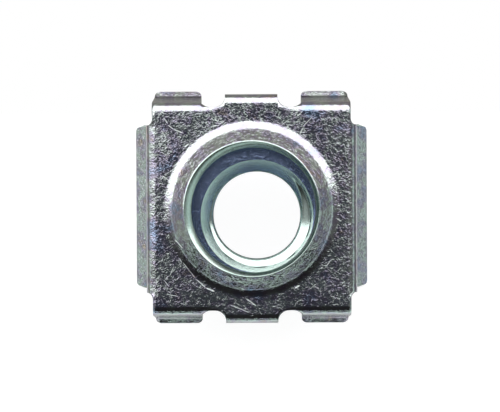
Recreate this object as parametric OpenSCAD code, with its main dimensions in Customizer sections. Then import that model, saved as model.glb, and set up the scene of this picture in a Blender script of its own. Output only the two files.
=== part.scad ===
// Rack cage nut: a square nut held loose in a cage folded from one piece of spring steel.
// The back plate faces up, and the part stands on the ends of its two snap-in wings.
// The wings face +X and -X, the retaining tabs +Y and -Y, and the thread runs along Z.

/* [Rail hole] */
// Side of the square hole in the rack rail
rail_hole = 9.5; // [9.2:0.1:10]
// Straight length of each neck below its shoulder, which the rail takes up
rail_grip = 1.3; // [0.8:0.1:2.5]
// Gap between each neck and the side of the rail hole
neck_play = 0.1; // [0.05:0.05:0.2]
// Gap between each edge of a wing and the side of the rail hole
edge_play = 0.05; // [0.02:0.01:0.15]

/* [Nut] */
// Nominal diameter of the thread
thread_d = 6; // [5:0.5:6]
// Pitch of the thread
thread_pitch = 1; // [0.8:0.05:1.1]
// Width of the square nut across its sides
nut_w = 10.3; // [9.9:0.1:11]
// Thickness of the nut
nut_h = 4.2; // [3.5:0.1:5.5]
// Radius of the nut's upright corners
nut_corner_r = 0.6; // [0.3:0.1:1.2]
// Bevel round both faces of the nut
nut_bevel = 0.25; // [0.1:0.05:0.4]
// Radius that each countersink has over the thread's own
countersink_lip = 0.17; // [0.05:0.01:0.3]
// Angle across each countersink
countersink_angle = 100; // [90:5:130]

/* [Nut in the cage] */
// Travel of the centred nut to each wing
float_x = 0.32; // [0.15:0.01:0.5]
// Travel of the centred nut to the outer tabs
float_y = 0.44; // [0.2:0.01:0.6]
// Play of the nut between the back plate and the shoulders
float_z = 0.25; // [0.1:0.05:0.5]
// Gap left where the nut lies against the +X wing and the -Y tabs
nut_gap = 0.02; // [0.01:0.01:0.1]

/* [Sheet] */
// Thickness of the spring steel
sheet_t = 0.45; // [0.4:0.05:0.55]
// Inside radius of the tight folds
fold_r = 0.1; // [0.08:0.02:0.2]

/* [Back plate] */
// Width of the plate and of its row of tabs
plate_w = 11.14; // [10.9:0.02:11.4]
// Radius of the fillet between the plate's edge and each wing
root_r = 0.35; // [0.2:0.05:0.5]

/* [Dome] */
// Radius at which the sheet starts to rise round the hole
dome_base_r = 5; // [4.8:0.05:5.1]
// Radius of the dome's upper edge
dome_rim_r = 3.775; // [3.6:0.025:4]
// Slope of the dome's wall
dome_slope = 43; // [40:1:60]
// Radius of the hollow fillet at the dome's foot
dome_fillet_r = 0.82; // [0.4:0.02:1]

/* [Wings] */
// Width across the tips of the two lips
lip_spread = 13.7; // [13:0.1:15]
// Slope of the lips below the horizontal
lip_angle = 40; // [30:1:55]
// Radius of the fold where a neck turns into its lip
lip_fold_r = 0.3; // [0.15:0.05:0.6]
// Corner radius at the ends of the lips
lip_corner_r = 0.25; // [0.1:0.05:0.5]

/* [Tabs] */
// Width of each middle tab
mid_tab_w = 2.94; // [2.4:0.02:3.4]
// Travel of the centred nut to each middle tab
mid_tab_float = 0.83; // [0.7:0.01:1]
// Width of the relief notches between the tabs
notch_w = 1.4; // [1:0.05:1.7]
// Corner radius at the floor of each notch
notch_r = 0.6; // [0.2:0.05:0.65]
// Distance of the notch floor past the outer tabs' fold line
notch_reach = 0.26; // [0.1:0.02:0.35]
// Outward lean of the outer tabs
tab_lean = 5.5; // [2:0.5:10]
// Turn of the foot at the end of each outer tab
foot_turn = 45; // [30:1:60]
// Radius of the fold above each foot
foot_fold_r = 0.2; // [0.1:0.05:0.4]
// Straight length of each foot
foot_len = 0.33; // [0.2:0.01:0.5]
// Corner radius at the ends of the tabs
tab_corner_r = 0.35; // [0.1:0.05:0.6]
// Gap between the ends of the tabs and the rail
tab_gap = 0.1; // [0.05:0.05:0.4]

/* [Hidden] */
$fn = 64;
fold_out_r = fold_r + sheet_t;
// Overlap of each folded piece with the flat of the plate
lap = 0.15;

// Depths below the top of the back plate
nut_top = sheet_t + float_z;
seat_depth = nut_top + nut_h;
rail_depth = seat_depth + sheet_t;
tab_depth = rail_depth - tab_gap;

// Nut
minor_r = (thread_d - thread_pitch) / 2;
countersink_r = thread_d / 2 + countersink_lip;
countersink_h = (countersink_r - minor_r) / tan(countersink_angle / 2);
nut_x = float_x - nut_gap;
nut_y = nut_gap - float_y;

// Wings
wing_w = rail_hole - 2 * edge_play;
wing_out = nut_w / 2 + float_x + sheet_t;
wing_fold = wing_out - fold_out_r;
wing_wall = rail_depth - 2 * fold_out_r;
neck_out = rail_hole / 2 - neck_play;
shoulder = wing_fold - fold_r - neck_out;
lip_turn = 90 - lip_angle;
lip_run = lip_spread / 2 - neck_out - lip_fold_r * (1 - cos(lip_turn));
lip_len = lip_run / cos(lip_angle);
lip_drop = lip_fold_r * sin(lip_turn) + lip_len * sin(lip_angle) + sheet_t * cos(lip_angle);
plate_z = to_micron(rail_depth + rail_grip + lip_drop);

// Outer tabs: heading of the wall and of the foot, in degrees below the horizontal
wall_heading = 90 - tab_lean;
foot_heading = wall_heading - foot_turn;
fold_drop = fold_out_r * (1 - sin(tab_lean));
bevel_drop = nut_top + nut_bevel - fold_drop;
tab_fold = to_micron(nut_w / 2 + float_y - fold_r * cos(tab_lean) - bevel_drop * tan(tab_lean));
foot_bend_drop = foot_fold_r * (cos(foot_heading) - cos(wall_heading));
foot_drop = foot_bend_drop + foot_len * sin(foot_heading) + sheet_t * cos(foot_heading);
tab_wall = (tab_depth - fold_drop - foot_drop) / sin(wall_heading);

// Middle tabs and notches
mid_tab_out = nut_w / 2 + mid_tab_float + sheet_t;
mid_tab_fold = mid_tab_out - fold_out_r;
mid_tab_wall = tab_depth - fold_out_r;
notch_x = mid_tab_w / 2 + notch_w / 2;
notch_floor = tab_fold + notch_reach;
outer_tab_x = mid_tab_w / 2 + notch_w;

// Dome
dome_wall_r = dome_base_r - dome_fillet_r * sin(dome_slope);
dome_wall = (dome_wall_r - dome_rim_r) / cos(dome_slope);

// Reach of the cutting shapes past the whole part
past = 2 * lip_spread;

// A length to the nearest thousandth of a millimetre
function to_micron(length) = round(1000 * length) / 1000;

// A ring sector of sheet about the origin, turning clockwise from +Y
module fold_sector(r, angle) {
    reach = 2 * (r + sheet_t);
    intersection() {
        difference() {
            circle(r + sheet_t);
            circle(r);
        }
        polygon([
            [0, 0],
            [0, reach],
            reach * [sin(angle / 2), cos(angle / 2)],
            reach * [sin(angle), cos(angle)]
        ]);
    }
}

// Section of a folded sheet, which starts at the origin along +X with its outer face on top.
// Each step is [straight length, turn, radius of that fold's hollow side].
// A positive turn goes down and a negative one goes up.
module folded_section(steps, i = 0) {
    length = steps[i][0];
    turn = steps[i][1];
    r = steps[i][2];
    if (length > 0) {
        translate([0, -sheet_t])
            square([length, sheet_t]);
    }
    translate([length, 0]) {
        if (turn > 0) {
            translate([0, -r - sheet_t])
                fold_sector(r, turn);
        }
        if (turn < 0) {
            translate([0, r])
                mirror([0, 1])
                    fold_sector(r, -turn);
        }
        if (i + 1 < len(steps)) {
            pivot = turn > 0 ? -r - sheet_t : r;
            translate([0, pivot])
                rotate(-turn)
                    translate([0, -pivot])
                        folded_section(steps, i + 1);
        }
    }
}

// A section swept along Y, with the section's X kept and its Y turned up
module along_y(width) {
    rotate([90, 0, 0])
        linear_extrude(width, center = true)
            children();
}

module both_ends() {
    children();
    rotate(180)
        children();
}

module both_sides() {
    children();
    mirror([1, 0, 0])
        children();
}

// A w by h rectangle on the X axis, centred in X, with its two lower corners rounded
module rounded_foot(w, h, r) {
    translate([-w / 2, r])
        square([w, h - r]);
    translate([r - w / 2, 0])
        square([w - 2 * r, h]);
    both_sides() {
        translate([w / 2 - r, r])
            circle(r);
    }
}

// Flat part of the back plate, up to the fold lines, with the opening under the dome
module plate_outline() {
    difference() {
        union() {
            square([2 * wing_fold, 2 * tab_fold], center = true);
            both_ends() {
                translate([-plate_w / 2, wing_w / 2 + root_r])
                    square([plate_w, tab_fold - wing_w / 2 - root_r]);
                translate([-notch_x, 0])
                    square([2 * notch_x, mid_tab_fold]);
            }
        }
        circle(dome_base_r);
    }
}

// The modules of the cage have the top of the back plate at Z = 0
module plate() {
    translate([0, 0, -sheet_t])
        linear_extrude(sheet_t)
            plate_outline();
}

// The sheet raised round the hole, cut square to its slope at the rim
module dome() {
    rotate_extrude()
        translate([dome_base_r + lap, 0])
            mirror([1, 0])
                folded_section([[lap, -dome_slope, dome_fillet_r], [dome_wall, 0, 0]]);
}

// A wing: side wall, shoulder under the nut, neck through the rail hole, and flared lip
module wing() {
    steps = [
        [lap, 90, fold_r],
        [wing_wall, 90, fold_r],
        [shoulder, -90, fold_r],
        [rail_grip - fold_r, -lip_turn, lip_fold_r],
        [lip_len, 0, 0]
    ];
    intersection() {
        translate([wing_fold - lap, 0, 0])
            along_y(wing_w)
                folded_section(steps);
        translate([lip_spread / 2, 0, -past / 2])
            rotate(90)
                linear_extrude(past)
                    rounded_foot(wing_w, lip_spread, lip_corner_r);
    }
}

// The web of sheet that fills the corner between the plate's edge and a wing
module wing_root() {
    intersection() {
        translate([wing_fold - lap, 0, 0])
            along_y(wing_w + 2 * root_r)
                folded_section([[lap, 90, fold_r]]);
        translate([0, wing_w / 2, -fold_out_r])
            linear_extrude(2 * fold_out_r)
                difference() {
                    translate([wing_fold - lap, -lap])
                        square([plate_w / 2 + root_r - wing_fold + lap, root_r + lap]);
                    translate([plate_w / 2 + root_r, root_r])
                        circle(root_r);
                }
    }
}

// A tab whose wall spans the X range wall_x, and whose fold spans web_x to meet the notches
module tab(fold_line, steps, wall_x, web_x) {
    web_w = web_x[1] - web_x[0];
    intersection() {
        translate([web_x[0] + web_w / 2, fold_line - lap, 0])
            rotate(90)
                along_y(web_w)
                    folded_section(steps);
        along_y(past) {
            translate([web_x[0], -fold_out_r])
                square([web_w, 2 * fold_out_r]);
            translate([(wall_x[0] + wall_x[1]) / 2, -tab_depth])
                rounded_foot(wall_x[1] - wall_x[0], tab_depth, tab_corner_r);
        }
    }
}

// Relief notch between two tabs, open to the outside
module notch() {
    translate([notch_x, notch_floor, -past / 2])
        linear_extrude(past)
            rounded_foot(notch_w, past, notch_r);
}

module tab_row() {
    leaning_wall = [
        [lap, wall_heading, fold_r],
        [tab_wall, -foot_turn, foot_fold_r],
        [foot_len, 0, 0]
    ];
    upright_wall = [
        [lap, 90, fold_r],
        [mid_tab_wall, 0, 0]
    ];
    difference() {
        union() {
            both_sides()
                tab(tab_fold, leaning_wall, [outer_tab_x, plate_w / 2], [notch_x, plate_w / 2]);
            tab(mid_tab_fold, upright_wall, [-mid_tab_w / 2, mid_tab_w / 2], [-notch_x, notch_x]);
        }
        both_sides()
            notch();
    }
}

module cage() {
    color("slategray")
        translate([0, 0, plate_z]) {
            difference() {
                plate();
                both_ends()
                    both_sides()
                        notch();
            }
            dome();
            both_ends() {
                wing();
                both_sides()
                    wing_root();
                tab_row();
            }
        }
}

// Side view of the nut, with a bevel along each edge
module nut_side() {
    half = nut_w / 2;
    flat = half - nut_bevel;
    polygon([
        [-flat, 0],
        [flat, 0],
        [half, nut_bevel],
        [half, nut_h - nut_bevel],
        [flat, nut_h],
        [-flat, nut_h],
        [-half, nut_h - nut_bevel],
        [-half, nut_bevel]
    ]);
}

// Plan of the nut, with rounded corners
module nut_plan() {
    straight = nut_w - 2 * nut_corner_r;
    square([nut_w, straight], center = true);
    square([straight, nut_w], center = true);
    for (x = [-1, 1], y = [-1, 1])
        translate([x, y] * straight / 2)
            circle(nut_corner_r);
}

module nut_blank() {
    intersection() {
        linear_extrude(nut_h)
            nut_plan();
        along_y(past)
            nut_side();
        rotate(90)
            along_y(past)
                nut_side();
    }
}

module countersink() {
    cylinder(h = countersink_h, r1 = countersink_r, r2 = minor_r);
}

module square_nut() {
    color("lightsteelblue")
        translate([nut_x, nut_y, plate_z - seat_depth])
            difference() {
                nut_blank();
                cylinder(h = 3 * nut_h, r = minor_r, center = true);
                countersink();
                translate([0, 0, nut_h])
                    mirror([0, 0, 1])
                        countersink();
            }
}

cage();
square_nut();
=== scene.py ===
import math

import bmesh
import bpy
from mathutils import Matrix, Vector


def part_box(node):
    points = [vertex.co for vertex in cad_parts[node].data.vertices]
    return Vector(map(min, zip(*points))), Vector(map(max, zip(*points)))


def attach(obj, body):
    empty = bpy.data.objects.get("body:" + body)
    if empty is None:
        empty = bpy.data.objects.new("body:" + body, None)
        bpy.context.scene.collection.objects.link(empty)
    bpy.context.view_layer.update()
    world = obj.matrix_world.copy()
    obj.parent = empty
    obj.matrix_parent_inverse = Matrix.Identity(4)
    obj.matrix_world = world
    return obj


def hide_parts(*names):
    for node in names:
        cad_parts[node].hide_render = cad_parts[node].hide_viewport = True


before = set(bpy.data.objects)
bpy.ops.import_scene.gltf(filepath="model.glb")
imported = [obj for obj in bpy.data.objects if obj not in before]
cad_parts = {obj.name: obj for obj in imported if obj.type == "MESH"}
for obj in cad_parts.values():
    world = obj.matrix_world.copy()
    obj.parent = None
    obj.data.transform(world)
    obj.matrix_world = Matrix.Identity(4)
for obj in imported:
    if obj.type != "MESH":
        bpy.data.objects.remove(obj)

bl_info = {
    "name": "Rack Cage Nut",
    "version": (1, 0, 0),
    "blender": (4, 5, 0),
    "location": "View3D > Sidebar > Cage Nut",
    "description": "Folds the sheet cage, cuts the threaded square nut and lights them on a pale table",
    "category": "Object",
}

# Shapes are worked out in millimetres and turned to metres as each piece is finished
MM = 0.001

NUT_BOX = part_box("square_nut")
# The plate is 0.45 mm thick and lies 0.25 mm above the nut
PLATE_TOP = NUT_BOX[1][2] / MM + 0.25 + 0.45


def length(name, description, default_mm, low=0.01, high=30.0):
    """A size property, stated in millimetres and kept in metres."""
    return bpy.props.FloatProperty(
        name=name,
        description=description,
        default=default_mm * MM,
        min=low * MM,
        max=high * MM,
        precision=5,
        subtype="DISTANCE",
        unit="LENGTH",
    )


def turn(name, description, default_deg):
    """An angle property, stated in degrees."""
    return bpy.props.FloatProperty(
        name=name,
        description=description,
        default=math.radians(default_deg),
        min=0.0,
        max=math.pi,
        subtype="ANGLE",
        unit="ROTATION",
    )


def linear(text):
    """An sRGB hex value as linear red, green and blue."""
    parts = [int(text[i : i + 2], 16) / 255 for i in (1, 3, 5)]
    return tuple(c / 12.92 if c <= 0.04045 else ((c + 0.055) / 1.055) ** 2.4 for c in parts)


def colour(name, description, text):
    """A colour property, stated as an sRGB hex value."""
    return bpy.props.FloatVectorProperty(
        name=name,
        description=description,
        default=linear(text),
        size=3,
        min=0.0,
        max=1.0,
        subtype="COLOR",
    )


class CageSheetSizes(bpy.types.PropertyGroup):
    """Sizes of the sheet cage, all measured on its outer skin."""

    sheet: length("Sheet", "Thickness of the spring steel", 0.45)
    fold: length("Fold radius", "Inside radius of the tight folds", 0.1)
    edge_round: length("Edge rounding", "Rounding that shearing and tumbling leave on each cut edge", 0.045)
    plate_width: length("Plate width", "Width of the plate and of its row of tabs", 11.14)
    wing_width: length("Wing width", "Width of each wing along Y", 9.4)
    wing_spread: length("Wing spread", "Distance between the outer faces of the two wings", 11.84)
    neck_spread: length("Neck spread", "Distance between the outer faces of the two necks", 9.3)
    shoulder_depth: length("Shoulder depth", "Depth of the shoulders' underside below the plate's top", 5.35)
    neck_grip: length("Neck grip", "Straight length of each neck below its shoulder", 1.3)
    lip_spread: length("Lip spread", "Width across the tips of the two lips", 13.7)
    lip_slope: turn("Lip slope", "Slope of the lips below the horizontal", 40)
    lip_fold: length("Lip fold", "Radius of the fold above each lip", 0.3)
    dome_base: length("Dome base", "Radius at which the sheet starts to rise", 5.0)
    dome_rim: length("Dome rim", "Radius of the dome's upper edge", 3.775)
    dome_slope: turn("Dome slope", "Slope of the dome's wall", 43)
    dome_fillet: length("Dome fillet", "Hollow radius at the dome's foot", 0.82)
    middle_tab: length("Middle tab", "Width of each middle tab", 2.94)
    notch: length("Notch", "Width of the relief notches between the tabs", 1.4)
    root: length("Tab roots", "Rounding beside the wings and at the tabs' free corners", 0.35)
    notch_floor: length("Notch floor", "Distance of the notch floors from the middle", 5.707)
    outer_fold: length("Outer fold line", "Distance of the outer tabs' fold from the middle", 5.447)
    middle_fold: length("Middle fold line", "Distance of the middle tabs' fold from the middle", 5.88)
    tab_depth: length("Tab depth", "Depth of the tabs' ends below the plate's top", 5.25)
    tab_lean: turn("Tab lean", "Outward lean of the outer tabs", 5.5)
    foot_turn: turn("Foot turn", "Turn of the foot at the end of each outer tab", 45)
    foot_fold: length("Foot fold", "Radius of the fold above each foot", 0.2)
    foot: length("Foot", "Straight length of each foot", 0.33)
    hole_offset: bpy.props.FloatVectorProperty(
        name="Hole offset",
        description="How far the pierced edge sits off the dome's centre",
        default=(0.12 * MM, -0.05 * MM),
        size=2,
        subtype="XYZ_LENGTH",
        unit="LENGTH",
    )


class SquareNutSizes(bpy.types.PropertyGroup):
    """Sizes of the threaded square nut."""

    thread: length("Thread", "Nominal diameter of the thread", 6.0)
    pitch: length("Pitch", "Pitch of the right-hand thread", 1.0)
    bore: length("Bore", "Diameter across the thread's crests", 5.0)
    countersink: length("Countersink", "Diameter of the countersinks at the nut's faces", 6.34)
    corner: length("Corner", "Radius of the nut's upright corners", 0.6)
    countersink_angle: turn("Countersink angle", "Angle across each countersink", 100)
    edge: length("Edge", "Rounding round both faces", 0.25)


class ZincFinish(bpy.types.PropertyGroup):
    """Colours of the bright zinc plating and its passivation film."""

    zinc: colour("Zinc", "Bright zinc with a clear film", "#D3DCD9")
    teal: colour("Teal film", "Film tint on smooth and cut faces", "#CFE2DC")
    violet: colour("Violet film", "Film tint in patches of the plate", "#C0BACD")
    blue: colour("Blue film", "Film tint in patches of the plate", "#A9BCD8")
    straw: colour("Straw film", "Film tint in patches of the plate", "#D2C6B4")
    nut_blue: colour("Nut film", "Film tint on the nut's faces", "#A9BCE2")


class StudioStage(bpy.types.PropertyGroup):
    """The table, its light and the camera."""

    card: length("Card", "Width of the pale card under the part", 36.0, high=2000.0)
    camera_height: length("Camera height", "Height of the camera above the plate", 140.0, high=2000.0)
    sky: bpy.props.FloatProperty(
        name="Sky", description="Brightness of the studio's wide window", default=2.0, min=0.0, max=5.0
    )


# ---------------------------------------------------------------- meshes


def finish_piece(bm, name, *materials):
    """Turns a mesh worked in millimetres into a smooth object at the origin."""
    bmesh.ops.scale(bm, vec=(MM, MM, MM), verts=bm.verts)
    for face in bm.faces:
        face.smooth = True
    mesh = bpy.data.meshes.new(name)
    bm.to_mesh(mesh)
    bm.free()
    piece = bpy.data.objects.new(name, mesh)
    bpy.context.scene.collection.objects.link(piece)
    for material in materials:
        mesh.materials.append(material)
    return piece


def everything(bm, test=None):
    """All of a mesh, or the faces that pass a test on their centre with their edges and corners."""
    faces = [f for f in bm.faces if test is None or test(f.calc_center_median())]
    edges = {e for f in faces for e in f.edges}
    verts = {v for f in faces for v in f.verts}
    return [*verts, *edges, *faces]


def cut(bm, axis, at, test=None):
    """Cuts a mesh by the two planes at plus and minus a distance along X or Y."""
    for side in (1, -1):
        place = Vector((0, 0, 0))
        place[axis] = side * at
        normal = Vector((0, 0, 0))
        normal[axis] = 1
        bmesh.ops.bisect_plane(bm, geom=everything(bm, test), plane_co=place, plane_no=normal, dist=0.004)


def ease(low, high, value):
    """A smooth step from 0 at low to 1 at high."""
    t = min(max((value - low) / (high - low), 0), 1)
    return t * t * (3 - 2 * t)


class FoldedStrip:
    """The path of the outer skin past a fold line, as straight runs and folds.

    Each step is (straight length, turn in radians, radius of the outer skin in that fold).
    """

    def __init__(self, steps):
        self.steps = steps

    def total(self):
        return sum(run + abs(angle) * radius for run, angle, radius in self.steps)

    def cuts(self, fineness=math.radians(9)):
        """Distances at which the strip needs an edge across it."""
        at, places = 0.0, [0.0]
        for run, angle, radius in self.steps:
            at += run
            if run:
                places.append(at)
            parts = max(3, math.ceil(abs(angle) / fineness)) if angle else 0
            for i in range(parts):
                places.append(at + abs(angle) * radius * (i + 1) / parts)
            at = places[-1]
        return places

    def place(self, distance):
        """How far out and how far down the skin is after a distance along it."""
        out = down = heading = 0.0
        left = distance
        for run, angle, radius in self.steps:
            here = min(left, run)
            out += here * math.cos(heading)
            down += here * math.sin(heading)
            left -= here
            if left <= 0 or not angle:
                continue
            part = min(left, abs(angle) * radius)
            step = math.copysign(part / radius, angle)
            side = math.copysign(radius, angle)
            out += side * (math.sin(heading + step) - math.sin(heading))
            down += side * (math.cos(heading) - math.cos(heading + step))
            heading += step
            left -= part
        out += left * math.cos(heading)
        down += left * math.sin(heading)
        return out, down


def cage_strips(s):
    """The wing, the outer tab and the middle tab, from the cage's sizes in millimetres."""
    outside = s["fold"] + s["sheet"]
    quarter = math.pi / 2
    neck = s["neck_spread"] / 2
    wing_fold = s["wing_spread"] / 2 - outside
    lip_turn = quarter - s["lip_slope"]
    lip_run = s["lip_spread"] / 2 - neck - s["lip_fold"] * (1 - math.cos(lip_turn))
    wing = FoldedStrip([
        (0, quarter, outside),
        (s["shoulder_depth"] - 2 * outside, quarter, outside),
        (wing_fold - s["fold"] - neck, -quarter, s["fold"]),
        (s["neck_grip"] - s["fold"], -lip_turn, s["lip_fold"]),
        (lip_run / math.cos(s["lip_slope"]), 0, 0),
    ])
    wall = quarter - s["tab_lean"]
    foot = wall - s["foot_turn"]
    fold_drop = outside * (1 - math.cos(wall))
    foot_drop = s["foot_fold"] * (math.cos(foot) - math.cos(wall)) + s["foot"] * math.sin(foot)
    foot_drop += s["sheet"] * math.cos(foot)
    outer_tab = FoldedStrip([
        (0, wall, outside),
        ((s["tab_depth"] - fold_drop - foot_drop) / math.sin(wall), -s["foot_turn"], s["foot_fold"]),
        (s["foot"], 0, 0),
    ])
    middle_tab = FoldedStrip([
        (0, quarter, outside),
        (s["tab_depth"] - outside, 0, 0),
    ])
    return wing_fold, wing, outer_tab, middle_tab


def flat_blank(bm, s, strips):
    """Cuts the cage's flat blank from one sheet, with its notches and rounded corners."""
    wing_fold, wing, outer_tab, middle_tab = strips
    inner = s["middle_tab"] / 2
    outer = inner + s["notch"]
    edge = s["plate_width"] / 2
    wing_edge = s["wing_width"] / 2
    wing_end = wing_fold + wing.total()
    outer_end = s["outer_fold"] + outer_tab.total()
    middle_end = s["middle_fold"] + middle_tab.total()
    floor = s["notch_floor"]

    bmesh.ops.create_grid(bm, x_segments=1, y_segments=1, size=0.5)
    bmesh.ops.scale(bm, vec=(2 * wing_end, 2 * max(outer_end, middle_end), 1), verts=bm.verts)
    for at in (inner, outer, edge):
        cut(bm, 0, at)
    for at in (wing_edge, floor, outer_end, middle_end):
        cut(bm, 1, at)

    def is_waste(face):
        centre = face.calc_center_median()
        x, y = abs(centre.x), abs(centre.y)
        plate = x < edge and y < floor
        in_wing = y < wing_edge
        in_outer_tab = outer < x < edge and y < outer_end
        in_middle_tab = x < inner and y < middle_end
        return not (plate or in_wing or in_outer_tab or in_middle_tab)

    bmesh.ops.delete(bm, geom=[f for f in bm.faces if is_waste(f)], context="FACES")
    bmesh.ops.dissolve_faces(bm, faces=bm.faces[:], use_verts=False)
    bmesh.ops.dissolve_limit(bm, angle_limit=0.01, verts=bm.verts[:], edges=bm.edges[:])

    corners = (
        (s["root"], ((edge, wing_edge), (inner, middle_end), (outer, outer_end), (edge, outer_end))),
        (0.6, ((inner, floor), (outer, floor))),
        (0.25, ((wing_end, wing_edge),)),
    )
    for radius, places in corners:
        chosen = [
            v
            for v in bm.verts
            for x, y in places
            if abs(abs(v.co.x) - x) < 1e-3 and abs(abs(v.co.y) - y) < 1e-3
        ]
        bmesh.ops.bevel(
            bm,
            geom=chosen,
            offset=radius,
            offset_type="OFFSET",
            segments=8,
            profile=0.5,
            affect="VERTICES",
            material=-1,
        )


def round_outline(bm, s):
    """Rounds the blank's cut edge down to the middle of the sheet, one narrow inset after another."""
    blank = next(iter(bm.faces))
    half = s["sheet"] / 2
    rows = edge_rows(s["edge_round"])
    outline = blank.edges[:]
    for (inset, depth), (next_inset, next_depth) in zip(rows, rows[1:]):
        for v in blank.verts:
            v.co.z = half - depth
        bmesh.ops.inset_region(bm, faces=[blank], thickness=next_inset - inset, use_even_offset=True)
    for v in blank.verts:
        v.co.z = half
    rim = bmesh.ops.extrude_edge_only(bm, edges=outline)["geom"]
    for v in rim:
        if isinstance(v, bmesh.types.BMVert):
            v.co.z = 0


def edge_rows(radius, segments=3):
    """How far inwards and how deep a rounded edge is, from the rim to the flat skin."""
    turns = [math.pi / 2 * i / segments for i in range(segments + 1)]
    return [(radius * (1 - math.cos(turn)), radius * (1 - math.sin(turn))) for turn in turns]


def cut_folds(bm, s, strips):
    """Cuts the blank across each fold, so that it can bend there."""
    wing_fold, wing, outer_tab, middle_tab = strips
    inner = s["middle_tab"] / 2
    outer = inner + s["notch"]
    wing_edge = s["wing_width"] / 2
    wing_root = wing_edge + s["root"]
    in_wing = lambda c: abs(c.x) > wing_fold and abs(c.y) < wing_root
    in_tabs = lambda c: abs(c.y) > s["outer_fold"]
    cut(bm, 0, wing_fold)
    cut(bm, 1, s["outer_fold"])
    cut(bm, 1, wing_root, lambda c: abs(c.x) > wing_fold)
    for at in wing.cuts():
        cut(bm, 0, wing_fold + at, in_wing)
    for at in (-0.1, 0, 0.08, 0.16, 0.24):
        cut(bm, 1, wing_edge + at, lambda c: in_wing(c) and abs(c.x) < s["plate_width"] / 2 + s["root"])
    for part in (0, 0.25, 0.5, 0.75, 1):
        cut(bm, 0, inner + (outer - inner) * part, in_tabs)
    for at in outer_tab.cuts():
        cut(bm, 1, s["outer_fold"] + at, lambda c: in_tabs(c) and abs(c.x) > inner)
    for at in middle_tab.cuts():
        cut(bm, 1, s["middle_fold"] + at, lambda c: in_tabs(c) and abs(c.x) < outer)


def dome_profile(s):
    """Radius and height of the dome's outer skin, from its foot to its rim."""
    slope, fillet, foot = s["dome_slope"], s["dome_fillet"], s["dome_base"]
    points = []
    for i in range(11):
        angle = slope * i / 10
        points.append((foot - fillet * math.sin(angle), fillet * (1 - math.cos(angle))))
    radius, height = points[-1]
    run = radius - s["dome_rim"]
    points += [(radius - run * part, height + run * part * math.tan(slope)) for part in (0.3, 0.6, 0.85, 1)]
    return points


def ring_plate(bm, s):
    """Opens the plate's middle into rings for the dome, down to the hole's rounded edge."""
    half = s["sheet"] / 2
    middle = min(bm.faces, key=lambda f: f.calc_center_median().length)
    outline = middle.edges[:]
    bmesh.ops.delete(bm, geom=[middle], context="FACES_ONLY")
    circle = bmesh.ops.create_circle(bm, segments=128, radius=s["dome_base"])["verts"]
    bmesh.ops.translate(bm, vec=(0, 0, half), verts=circle)
    ring = list({e for v in circle for e in v.link_edges})
    bmesh.ops.triangle_fill(bm, edges=outline + ring, use_beauty=True, normal=(0, 0, 1))
    edge = [
        (s["dome_rim"] + inset * math.cos(s["dome_slope"]), depth)
        for inset, depth in reversed(edge_rows(s["edge_round"]))
    ]
    rows = [(radius, 0) for radius, height in dome_profile(s)[1:-1]] + edge + [(s["dome_rim"], half)]
    for radius, depth in rows:
        grown = bmesh.ops.extrude_edge_only(bm, edges=ring)["geom"]
        ring = [e for e in grown if isinstance(e, bmesh.types.BMEdge)]
        for v in grown:
            if isinstance(v, bmesh.types.BMVert):
                v.co.xy = v.co.xy.normalized() * radius
                v.co.z = half - depth


def folded_place(s, strips, x, y):
    """Where a point of the flat outer skin goes once the cage is folded and its dome pressed."""
    wing_fold, wing, outer_tab, middle_tab = strips
    inner = s["middle_tab"] / 2
    wing_edge = s["wing_width"] / 2
    place = Vector((x, y, 0))
    away = place.length
    if away < s["dome_base"]:
        rise = dome_profile(s)
        for (near, low), (far, high) in zip(rise, rise[1:]):
            if away >= far or far == rise[-1][0]:
                place.z = low + (near - away) / (near - far) * (high - low)
                break
    elif abs(x) > wing_fold and abs(y) < wing_edge + s["root"]:
        out, down = wing.place(abs(x) - wing_fold)
        full = 1 - ease(wing_edge, wing_edge + s["root"], abs(y))
        place.x = math.copysign(abs(x) + (wing_fold + out - abs(x)) * full, x)
        place.z = -down * full
    elif abs(y) > s["outer_fold"]:
        out, down = outer_tab.place(abs(y) - s["outer_fold"])
        mid_out, mid_down = middle_tab.place(max(abs(y) - s["middle_fold"], 0))
        mid_out += min(abs(y) - s["middle_fold"], 0)
        part = ease(inner, inner + s["notch"], abs(x))
        at_middle = Vector((s["middle_fold"] + mid_out, -mid_down))
        at_outer = Vector((s["outer_fold"] + out, -down))
        folded = at_middle.lerp(at_outer, part)
        place.y = math.copysign(folded.x, y)
        place.z = folded.y
    return place


def fold_sheet(bm, s, strips):
    """Moves every corner of the flat sheet to its place, at its own depth below the outer skin."""
    half = s["sheet"] / 2
    step = 0.002
    pierced = s["dome_rim"] + 1.01 * s["edge_round"]
    for v in bm.verts:
        x, y = v.co.x, v.co.y
        depth = half - v.co.z
        along_x = folded_place(s, strips, x + step, y) - folded_place(s, strips, x - step, y)
        along_y = folded_place(s, strips, x, y + step) - folded_place(s, strips, x, y - step)
        v.co = folded_place(s, strips, x, y) - along_x.cross(along_y).normalized() * depth
        if math.hypot(x, y) < pierced:
            v.co.xy += Vector(s["hole_offset"]) * depth / s["sheet"]


def sizes_in_mm(group):
    """A property group's lengths in millimetres and its angles in radians."""
    values = {}
    for key, prop in group.bl_rna.properties.items():
        if key in ("rna_type", "name"):
            continue
        value = getattr(group, key)
        if prop.type == "FLOAT" and prop.unit == "LENGTH":
            value = [v / MM for v in value] if prop.is_array else value / MM
        values[key] = value
    return values


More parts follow.
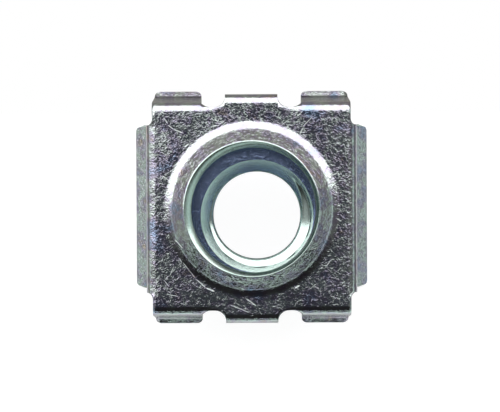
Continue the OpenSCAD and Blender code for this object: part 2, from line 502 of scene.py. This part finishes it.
def sheet_cage(s):
    """The whole cage as a solid sheet, with the plate's top at its place in the frame."""
    bm = bmesh.new()
    strips = cage_strips(s)
    flat_blank(bm, s, strips)
    round_outline(bm, s)
    cut_folds(bm, s, strips)
    ring_plate(bm, s)
    half = s["sheet"] / 2
    for face in bm.faces:
        face.material_index = 0 if min(v.co.z for v in face.verts) > half - 1e-4 else 1
    bmesh.ops.mirror(bm, geom=everything(bm), axis="Z", merge_dist=1e-4)
    fold_sheet(bm, s, strips)
    bmesh.ops.recalc_face_normals(bm, faces=bm.faces[:])
    bmesh.ops.translate(bm, vec=(0, 0, PLATE_TOP), verts=bm.verts)
    return bm


def square_nut(s, box):
    """The nut with its thread cut right through, inside the box of its solid."""
    low, high = (Vector(c) / MM for c in box)
    middle = (low + high) / 2
    top = high.z
    bm = bmesh.new()

    # One pitch of the thread's profile, swept up a right-hand helix
    pitch = s["pitch"]
    crest, root = s["bore"] / 2, s["thread"] / 2
    flank = (root - crest) * math.tan(math.radians(30))
    crest_flat = 0.62 * (pitch - 2 * flank)
    rows = 24

    def thread_radius(height):
        """Radius at a height within one pitch, from the middle of a crest."""
        from_crest = min(height, pitch - height)
        part = (from_crest - crest_flat / 2) / flank
        part = min(max(part, 0), 1)
        return crest + (root - crest) * (0.7 * part + 0.3 * ease(0, 1, part))

    steps = 112
    turns = math.ceil((top - low.z) / pitch) + 3
    start = low.z - 1.5 * pitch
    chain = [bmesh.ops.create_vert(bm, co=(thread_radius(0), 0, start))["vert"][0]]
    for i in range(1, rows + 1):
        moved = bmesh.ops.extrude_vert_indiv(bm, verts=[chain[-1]])["verts"][0]
        moved.co = (thread_radius(pitch * i / rows), 0, start + pitch * i / rows)
        chain.append(moved)
    edges = list({e for v in chain for e in v.link_edges})
    bmesh.ops.spin(
        bm,
        geom=chain + edges,
        cent=(0, 0, 0),
        axis=(0, 0, 1),
        dvec=(0, 0, pitch / steps),
        angle=2 * math.pi * turns,
        steps=steps * turns,
        use_merge=False,
    )
    bmesh.ops.remove_doubles(bm, verts=bm.verts[:], dist=2e-4)
    for z, side in ((low.z, -1), (top, 1)):
        bmesh.ops.bisect_plane(
            bm,
            geom=everything(bm),
            plane_co=(0, 0, z),
            plane_no=(0, 0, side),
            clear_outer=True,
            dist=1e-6,
        )
    widest = s["countersink"] / 2
    for v in bm.verts:
        depth = min(top - v.co.z, v.co.z - low.z)
        sunk = widest - depth * math.tan(s["countersink_angle"] / 2)
        r = v.co.xy.length
        if r < sunk:
            v.co.xy *= sunk / r
    bmesh.ops.translate(bm, vec=(middle.x, middle.y, 0), verts=bm.verts)
    mouths = [e for e in bm.edges if e.is_boundary]

    # The outside, with its faces left open for the bore
    cube = bmesh.ops.create_cube(bm, size=1)["verts"]
    bmesh.ops.scale(bm, vec=high - low, verts=cube)
    bmesh.ops.translate(bm, vec=middle, verts=cube)
    upright = [e for e in bm.edges if e.verts[0] in cube and abs(e.verts[0].co.z - e.verts[1].co.z) > 1]
    bmesh.ops.bevel(
        bm, geom=upright, offset=s["corner"], segments=8, profile=0.5, affect="EDGES", material=-1
    )
    caps = [f for f in bm.faces if f.calc_area() > 50 and abs(f.normal.z) > 0.9]
    rims = [e for f in caps for e in f.edges]
    bmesh.ops.bevel(bm, geom=rims, offset=s["edge"], segments=4, profile=0.5, affect="EDGES", material=-1)
    caps = [f for f in bm.faces if f.calc_area() > 50 and abs(f.normal.z) > 0.9]
    for cap in caps:
        level = cap.calc_center_median().z
        outline = cap.edges[:]
        mouth = [e for e in mouths if e.is_valid and abs(e.verts[0].co.z - level) < 0.01]
        bmesh.ops.delete(bm, geom=[cap], context="FACES_ONLY")
        bmesh.ops.bridge_loops(bm, edges=outline + mouth)
    bmesh.ops.recalc_face_normals(bm, faces=bm.faces[:])
    for edge in bm.edges:
        edge.smooth = edge.calc_face_angle(0) < math.radians(35)
    return bm


def even_shading(piece):
    """Keeps broad faces flat in the light beside their narrow rounded edges."""
    weigh = piece.modifiers.new("even_shading", "WEIGHTED_NORMAL")
    weigh.mode = "FACE_AREA_WITH_ANGLE"
    weigh.weight = 100
    weigh.keep_sharp = True
    return weigh


# ---------------------------------------------------------------- materials


def add(tree, kind, inputs=None, **settings):
    """Adds a node with its settings, and sets or links its inputs."""
    node = tree.nodes.new(kind)
    for key, value in settings.items():
        setattr(node, key, value)
    for key, value in (inputs or {}).items():
        socket = node.inputs[key]
        if isinstance(value, bpy.types.NodeSocket):
            tree.links.new(value, socket)
        else:
            socket.default_value = value
    return node


def new_material(name):
    """An empty material and its tree."""
    material = bpy.data.materials.new(name)
    material.use_nodes = True
    material.node_tree.nodes.clear()
    return material, material.node_tree


def rgba(value):
    return (*value, 1.0)


def in_millimetres(tree):
    """Object coordinates in millimetres, and their X, Y and Z."""
    place = add(tree, "ShaderNodeTexCoord").outputs["Object"]
    mm = add(tree, "ShaderNodeMapping", {"Vector": place, "Scale": (1000, 1000, 1000)}).outputs["Vector"]
    return mm, add(tree, "ShaderNodeSeparateXYZ", {"Vector": mm}).outputs


def maths(tree, operation, *values, clamp=False):
    """One arithmetic step on numbers or sockets."""
    inputs = dict(enumerate(values))
    return add(tree, "ShaderNodeMath", inputs, operation=operation, use_clamp=clamp).outputs[0]


def between(tree, value, low, high, start=0.0, end=1.0):
    """A value taken smoothly from one range to another."""
    inputs = {"Value": value, "From Min": low, "From Max": high, "To Min": start, "To Max": end}
    return add(tree, "ShaderNodeMapRange", inputs, interpolation_type="SMOOTHSTEP").outputs[0]


# Deep scratches on the plate: middle in X and Y, length and width in millimetres, heading in degrees
DEEP_SCRATCHES = (
    (-4.80, 4.99, 0.50, 0.07, -56), (-4.52, 4.62, 0.45, 0.07, -38), (-4.08, 4.38, 0.68, 0.08, -22),
    (-3.64, 3.58, 0.36, 0.12, 37), (-4.90, 4.22, 0.62, 0.06, -60), (-4.83, 1.78, 0.42, 0.07, -37),
    (-5.30, 3.06, 0.66, 0.05, -4), (3.16, 4.88, 0.85, 0.06, 45), (2.80, 4.38, 0.42, 0.06, 62),
    (2.72, 5.32, 0.48, 0.07, 42), (4.62, 1.92, 0.50, 0.05, 25), (4.72, 0.98, 0.30, 0.10, -55),
    (-4.06, -1.95, 1.02, 0.07, -48), (-4.02, -2.84, 0.36, 0.05, -58), (-3.52, -3.42, 1.26, 0.045, -52),
    (-2.86, -4.16, 0.80, 0.07, -42), (-2.34, -4.50, 0.62, 0.11, -23), (-4.48, -3.42, 0.68, 0.045, 67),
    (-4.80, -4.14, 0.54, 0.05, -52), (-0.72, -5.58, 1.28, 0.05, -22), (-0.06, -5.22, 0.78, 0.06, -36),
    (-4.46, -4.82, 0.76, 0.045, -11), (2.52, -4.36, 0.36, 0.13, 29), (3.44, -2.22, 0.50, 0.05, 12),
    (4.30, -3.05, 0.55, 0.05, 52), (4.86, -0.62, 0.40, 0.06, -30),
)


def deep_scratches(tree, mm, parts):
    """1 inside each deep scratch on the plate, tapering to its ends, and 0 elsewhere."""
    total = 0.0
    for x, y, long, wide, heading in DEEP_SCRATCHES:
        inputs = {
            "Vector": mm,
            "Location": (x, y, 0),
            "Rotation": (0, 0, math.radians(heading)),
            "Scale": (long / 2, wide / 2, 1000),
        }
        across = add(tree, "ShaderNodeMapping", inputs, vector_type="TEXTURE").outputs[0]
        away = add(tree, "ShaderNodeVectorMath", {0: across}, operation="LENGTH").outputs["Value"]
        total = maths(tree, "MAXIMUM", total, between(tree, away, 1.0, 0.3))
    return maths(tree, "MULTIPLY", total, between(tree, parts[2], PLATE_TOP - 0.4, PLATE_TOP - 0.1))


def hairlines(tree, mm, heading, count_per_mm, share):
    """Fine handling scratches along one heading, thinned out to a share of the surface."""
    turned = add(tree, "ShaderNodeMapping", {
        "Vector": mm,
        "Rotation": (0, 0, math.radians(heading)),
        "Scale": (1.2, 1 / count_per_mm, 1.2),
    }, vector_type="TEXTURE").outputs[0]
    streaks = add(tree, "ShaderNodeTexNoise", {"Vector": turned, "Scale": 1.0, "Detail": 1.0, "Distortion": 0.15})
    return between(tree, streaks.outputs["Fac"], 1 - share, 1 - share + 0.05)


def tumbled_zinc(finish):
    """Bright blue-passivated zinc on spring steel that was barrel-tumbled in plating.

    Tumbling peens the surface into tiny facets, which sparkle against a dark ceiling. The film over
    the zinc drifts between clear, violet, blue and straw, and parts knock scratches into each other.
    """
    material, tree = new_material("tumbled_blue_passivated_zinc")
    mm, parts = in_millimetres(tree)

    # Facets of about 0.08 mm, with slopes of a few degrees, over a slow waviness of the sheet
    facets = add(tree, "ShaderNodeTexNoise", {
        "Vector": mm, "Scale": 5.6, "Detail": 1.5, "Roughness": 0.55, "Distortion": 1.8,
    }).outputs["Fac"]
    dents = add(tree, "ShaderNodeTexVoronoi", {"Vector": mm, "Scale": 5.0}, feature="SMOOTH_F1").outputs["Distance"]
    waves = add(tree, "ShaderNodeTexNoise", {"Vector": mm, "Scale": 0.5, "Detail": 1.0}).outputs["Fac"]
    scratch = deep_scratches(tree, mm, parts)
    hair = 0.0
    for heading, count, share in ((28, 14, 0.30), (-47, 16, 0.30), (81, 15, 0.28), (-12, 13, 0.28)):
        hair = maths(tree, "MAXIMUM", hair, hairlines(tree, mm, heading, count, share))

    height = maths(tree, "MULTIPLY_ADD", dents, 0.35, facets)
    height = maths(tree, "MULTIPLY_ADD", waves, 3.0, height)
    height = maths(tree, "MULTIPLY_ADD", scratch, -1.5, height)
    bump = add(tree, "ShaderNodeBump", {"Strength": 1.0, "Distance": 1.35e-5, "Height": height})

    # The film, in patches of a millimetre or two
    patch = add(tree, "ShaderNodeTexNoise", {"Vector": mm, "Scale": 0.6, "Detail": 3.0, "Roughness": 0.65})
    film = add(tree, "ShaderNodeValToRGB", {"Fac": patch.outputs["Fac"]})
    ramp = film.color_ramp
    ramp.elements[0].position = 0.3
    ramp.elements[0].color = rgba(finish.blue)
    ramp.elements[1].position = 0.72
    ramp.elements[1].color = rgba(finish.straw)
    for at, tone in ((0.42, finish.violet), (0.52, finish.zinc), (0.61, finish.violet)):
        stop = ramp.elements.new(at)
        stop.color = rgba(tone)
    bare = maths(tree, "MAXIMUM", scratch, maths(tree, "MULTIPLY", hair, 0.12))
    colour_mix = add(tree, "ShaderNodeMix", {0: bare, 6: film.outputs["Color"], 7: rgba(finish.zinc)}, data_type="RGBA")
    roughness = maths(tree, "MULTIPLY_ADD", bare, 0.25, 0.12)
    shader = add(tree, "ShaderNodeBsdfPrincipled", {
        "Base Color": colour_mix.outputs[2],
        "Metallic": 1.0,
        "Roughness": roughness,
        "Normal": bump.outputs["Normal"],
    })
    add(tree, "ShaderNodeOutputMaterial", {"Surface": shader.outputs[0]})
    return material


def sheared_zinc(finish):
    """Zinc over the sheet's cut edges, which the press left smooth and the film tints teal."""
    material, tree = new_material("sheared_blue_passivated_zinc")
    mm, parts = in_millimetres(tree)
    grain = add(tree, "ShaderNodeTexNoise", {"Vector": mm, "Scale": 9.0, "Detail": 2.0}).outputs["Fac"]
    bump = add(tree, "ShaderNodeBump", {"Strength": 1.0, "Distance": 5.0e-6, "Height": grain})
    shader = add(tree, "ShaderNodeBsdfPrincipled", {
        "Base Color": rgba(finish.teal),
        "Metallic": 1.0,
        "Roughness": 0.22,
        "Normal": bump.outputs["Normal"],
    })
    add(tree, "ShaderNodeOutputMaterial", {"Surface": shader.outputs[0]})
    return material


def smooth_zinc(finish):
    """Bright blue-passivated zinc on the nut's pressed and tapped faces."""
    material, tree = new_material("bright_blue_passivated_zinc")
    mm, parts = in_millimetres(tree)
    # The faces are peened like the cage, and the countersinks and the thread stay smooth
    facing = add(tree, "ShaderNodeNewGeometry").outputs["Normal"]
    up = add(tree, "ShaderNodeSeparateXYZ", {"Vector": facing}).outputs["Z"]
    flat = between(tree, maths(tree, "ABSOLUTE", up), 0.9, 0.98)
    grain = add(tree, "ShaderNodeTexNoise", {
        "Vector": mm, "Scale": 6.0, "Detail": 2.0, "Roughness": 0.55, "Distortion": 1.5,
    }).outputs["Fac"]
    depth = between(tree, flat, 0.0, 1.0, 0.25, 1.0)
    height = maths(tree, "MULTIPLY", grain, depth)
    bump = add(tree, "ShaderNodeBump", {"Strength": 1.0, "Distance": 1.0e-5, "Height": height})
    film = add(tree, "ShaderNodeMix", {
        0: flat, 6: rgba(finish.teal), 7: rgba(finish.nut_blue),
    }, data_type="RGBA").outputs[2]
    shader = add(tree, "ShaderNodeBsdfPrincipled", {
        "Base Color": film,
        "Metallic": 1.0,
        "Roughness": 0.17,
        "Normal": bump.outputs["Normal"],
    })
    add(tree, "ShaderNodeOutputMaterial", {"Surface": shader.outputs[0]})
    return material


# ---------------------------------------------------------------- operators


class CAGENUT_OT_fold_cage(bpy.types.Operator):
    """Folds the cage from its flat blank and plates it"""

    bl_idname = "cagenut.fold_cage"
    bl_label = "Fold the Cage"
    bl_options = {"REGISTER", "UNDO"}

    def execute(self, context):
        scene = context.scene
        bm = sheet_cage(sizes_in_mm(scene.cage_sheet))
        finish = scene.zinc_finish
        piece = finish_piece(bm, "folded_cage", tumbled_zinc(finish), sheared_zinc(finish))
        even_shading(piece)
        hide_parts("cage")
        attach(piece, "root")
        return {"FINISHED"}


class CAGENUT_OT_thread_nut(bpy.types.Operator):
    """Makes the square nut with its thread and countersinks"""

    bl_idname = "cagenut.thread_nut"
    bl_label = "Thread the Nut"
    bl_options = {"REGISTER", "UNDO"}

    def execute(self, context):
        scene = context.scene
        bm = square_nut(sizes_in_mm(scene.square_nut), NUT_BOX)
        piece = finish_piece(bm, "threaded_nut", smooth_zinc(scene.zinc_finish))
        even_shading(piece)
        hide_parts("square_nut")
        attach(piece, "root")
        return {"FINISHED"}


def sky_ramp(tree, angle, stops):
    """Brightness of one side of the studio by degrees off the vertical."""
    node = add(tree, "ShaderNodeValToRGB", {"Fac": angle})
    elements = node.color_ramp.elements
    for i, (degrees, tone) in enumerate(stops):
        stop = elements[i] if i < 2 else elements.new(degrees / 180)
        stop.position = degrees / 180
        stop.color = rgba(tone)
    return node.outputs["Color"]


def light_studio(stage):
    """A dark ceiling over the camera, a wide window on the +Y side and dim walls elsewhere."""
    world = bpy.data.worlds.new("studio")
    bpy.context.scene.world = world
    world.use_nodes = True
    tree = world.node_tree
    tree.nodes.clear()
    way = add(tree, "ShaderNodeTexCoord").outputs["Generated"]
    parts = add(tree, "ShaderNodeSeparateXYZ", {"Vector": way})
    x, y, z = (parts.outputs[i] for i in range(3))
    angle = add(tree, "ShaderNodeMath", {0: z}, operation="ARCCOSINE")
    off_vertical = add(tree, "ShaderNodeMath", {0: angle.outputs[0], 1: math.pi}, operation="DIVIDE").outputs[0]
    bearing = add(tree, "ShaderNodeMath", {0: y, 1: x}, operation="ARCTAN2").outputs[0]

    def side(centre_deg, full_deg, none_deg):
        """1 within full_deg of a bearing, and 0 past none_deg from it."""
        away = add(tree, "ShaderNodeMath", {0: bearing, 1: math.radians(centre_deg)}, operation="SUBTRACT")
        near = add(tree, "ShaderNodeMath", {0: away.outputs[0]}, operation="COSINE")
        return add(tree, "ShaderNodeMapRange", {
            "Value": near.outputs[0],
            "From Min": math.cos(math.radians(none_deg)),
            "From Max": math.cos(math.radians(full_deg)),
        }, interpolation_type="SMOOTHSTEP").outputs[0]

    grey = lambda v: (v, v, v)
    ceiling = (0.026, 0.029, 0.036)
    low_wall = (0.30, 0.36, 0.34)
    foot_wall = (0.46, 0.54, 0.51)
    brown = (0.14, 0.137, 0.125)
    window = sky_ramp(tree, off_vertical, (
        (0, ceiling), (11, ceiling), (15, grey(0.9)), (18, grey(1.0)), (76, grey(1.0)), (80, brown), (180, brown),
    ))
    east = sky_ramp(tree, off_vertical, (
        (0, ceiling), (20, grey(0.06)), (65, grey(0.07)), (72, low_wall), (80, low_wall), (85, grey(0.085)),
        (180, grey(0.085)),
    ))
    west = sky_ramp(tree, off_vertical, (
        (0, ceiling), (20, grey(0.05)), (50, grey(0.07)), (54, grey(0.3)), (58, grey(0.07)), (68, grey(0.07)),
        (73, low_wall), (80, low_wall), (85, brown),
    ))
    south = sky_ramp(tree, off_vertical, (
        (0, ceiling), (20, grey(0.01)), (70, grey(0.01)), (73, foot_wall), (76, foot_wall), (79, grey(0.01)),
        (92, grey(0.01)), (95, foot_wall), (180, foot_wall),
    ))
    room = add(tree, "ShaderNodeMix", {0: side(180, 60, 80), 6: east, 7: west}, data_type="RGBA").outputs[2]
    room = add(tree, "ShaderNodeMix", {0: side(-90, 50, 75), 6: room, 7: south}, data_type="RGBA").outputs[2]
    room = add(tree, "ShaderNodeMix", {0: side(97, 76, 84), 6: room, 7: window}, data_type="RGBA").outputs[2]
    studio = add(tree, "ShaderNodeBackground", {"Color": room, "Strength": stage.sky})
    backdrop = add(tree, "ShaderNodeBackground", {"Color": (1, 1, 1, 1), "Strength": 1.0})
    path = add(tree, "ShaderNodeLightPath")
    seen = add(tree, "ShaderNodeMixShader", {0: path.outputs["Is Camera Ray"], 1: studio.outputs[0], 2: backdrop.outputs[0]})
    add(tree, "ShaderNodeOutputWorld", {"Surface": seen.outputs[0]})


def pale_card(stage):
    """A pale card under the part, which keeps a soft shadow and meets the white backdrop."""
    material, tree = new_material("pale_matt_card")
    path = add(tree, "ShaderNodeLightPath")
    card = add(tree, "ShaderNodeBsdfDiffuse", {"Color": (0.86, 0.87, 0.86, 1)})
    faint = add(tree, "ShaderNodeBsdfDiffuse", {"Color": (0.25, 0.25, 0.25, 1)})
    glow = add(tree, "ShaderNodeEmission", {"Color": (1, 1, 1, 1), "Strength": 0.92})
    lit = add(tree, "ShaderNodeAddShader", {0: faint.outputs[0], 1: glow.outputs[0]})
    seen = add(tree, "ShaderNodeMixShader", {0: path.outputs["Is Camera Ray"], 1: card.outputs[0], 2: lit.outputs[0]})
    add(tree, "ShaderNodeOutputMaterial", {"Surface": seen.outputs[0]})
    width = stage.card / MM
    bm = bmesh.new()
    bmesh.ops.create_grid(bm, x_segments=1, y_segments=1, size=width / 2)
    bmesh.ops.translate(bm, vec=(0, 5.5 - width / 2, -0.002), verts=bm.verts)
    finish_piece(bm, "card", material)


def place_camera(stage):
    """Looks straight down on the plate from just past its middle."""
    data = bpy.data.cameras.new("camera")
    data.lens = 180
    data.sensor_width = 36
    data.clip_start = 0.01
    data.clip_end = 10
    camera = bpy.data.objects.new("camera", data)
    bpy.context.scene.collection.objects.link(camera)
    target = Vector((-0.095, 0.16, PLATE_TOP)) * MM
    place = Vector((0, 2.75 * MM, PLATE_TOP * MM + stage.camera_height))
    back = (place - target).normalized()
    right = Vector((0, 1, 0)).cross(back).normalized()
    turned = Matrix((right, back.cross(right), back)).transposed().to_4x4()
    camera.matrix_world = Matrix.Translation(place) @ turned @ Matrix.Rotation(math.radians(-0.3), 4, "Z")
    bpy.context.scene.camera = camera


class CAGENUT_OT_set_stage(bpy.types.Operator):
    """Sets the table, the studio light and the camera"""

    bl_idname = "cagenut.set_stage"
    bl_label = "Set the Stage"
    bl_options = {"REGISTER", "UNDO"}

    def execute(self, context):
        stage = context.scene.studio_stage
        pale_card(stage)
        light_studio(stage)
        place_camera(stage)
        context.scene.view_settings.view_transform = "Standard"
        return {"FINISHED"}


class CAGENUT_PT_sidebar(bpy.types.Panel):
    """The cage nut's steps and sizes"""

    bl_idname = "CAGENUT_PT_sidebar"
    bl_label = "Rack Cage Nut"
    bl_space_type = "VIEW_3D"
    bl_region_type = "UI"
    bl_category = "Cage Nut"

    def draw(self, context):
        layout = self.layout
        for operator in OPERATORS:
            layout.operator(operator.bl_idname)
        for key in GROUPS:
            box = layout.box()
            group = getattr(context.scene, key)
            for name in group.bl_rna.properties.keys():
                if name not in ("rna_type", "name"):
                    box.prop(group, name)


OPERATORS = (CAGENUT_OT_fold_cage, CAGENUT_OT_thread_nut, CAGENUT_OT_set_stage)
GROUPS = {
    "cage_sheet": CageSheetSizes,
    "square_nut": SquareNutSizes,
    "zinc_finish": ZincFinish,
    "studio_stage": StudioStage,
}


def register():
    for group in GROUPS.values():
        bpy.utils.register_class(group)
    for operator in OPERATORS:
        bpy.utils.register_class(operator)
    bpy.utils.register_class(CAGENUT_PT_sidebar)
    for key, group in GROUPS.items():
        setattr(bpy.types.Scene, key, bpy.props.PointerProperty(type=group))


def unregister():
    for key in GROUPS:
        delattr(bpy.types.Scene, key)
    bpy.utils.unregister_class(CAGENUT_PT_sidebar)
    for operator in reversed(OPERATORS):
        bpy.utils.unregister_class(operator)
    for group in reversed(GROUPS.values()):
        bpy.utils.unregister_class(group)


def main():
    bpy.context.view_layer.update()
    register()
    bpy.ops.cagenut.fold_cage()
    bpy.ops.cagenut.thread_nut()
    bpy.ops.cagenut.set_stage()


if __name__ == "__main__":
    main()
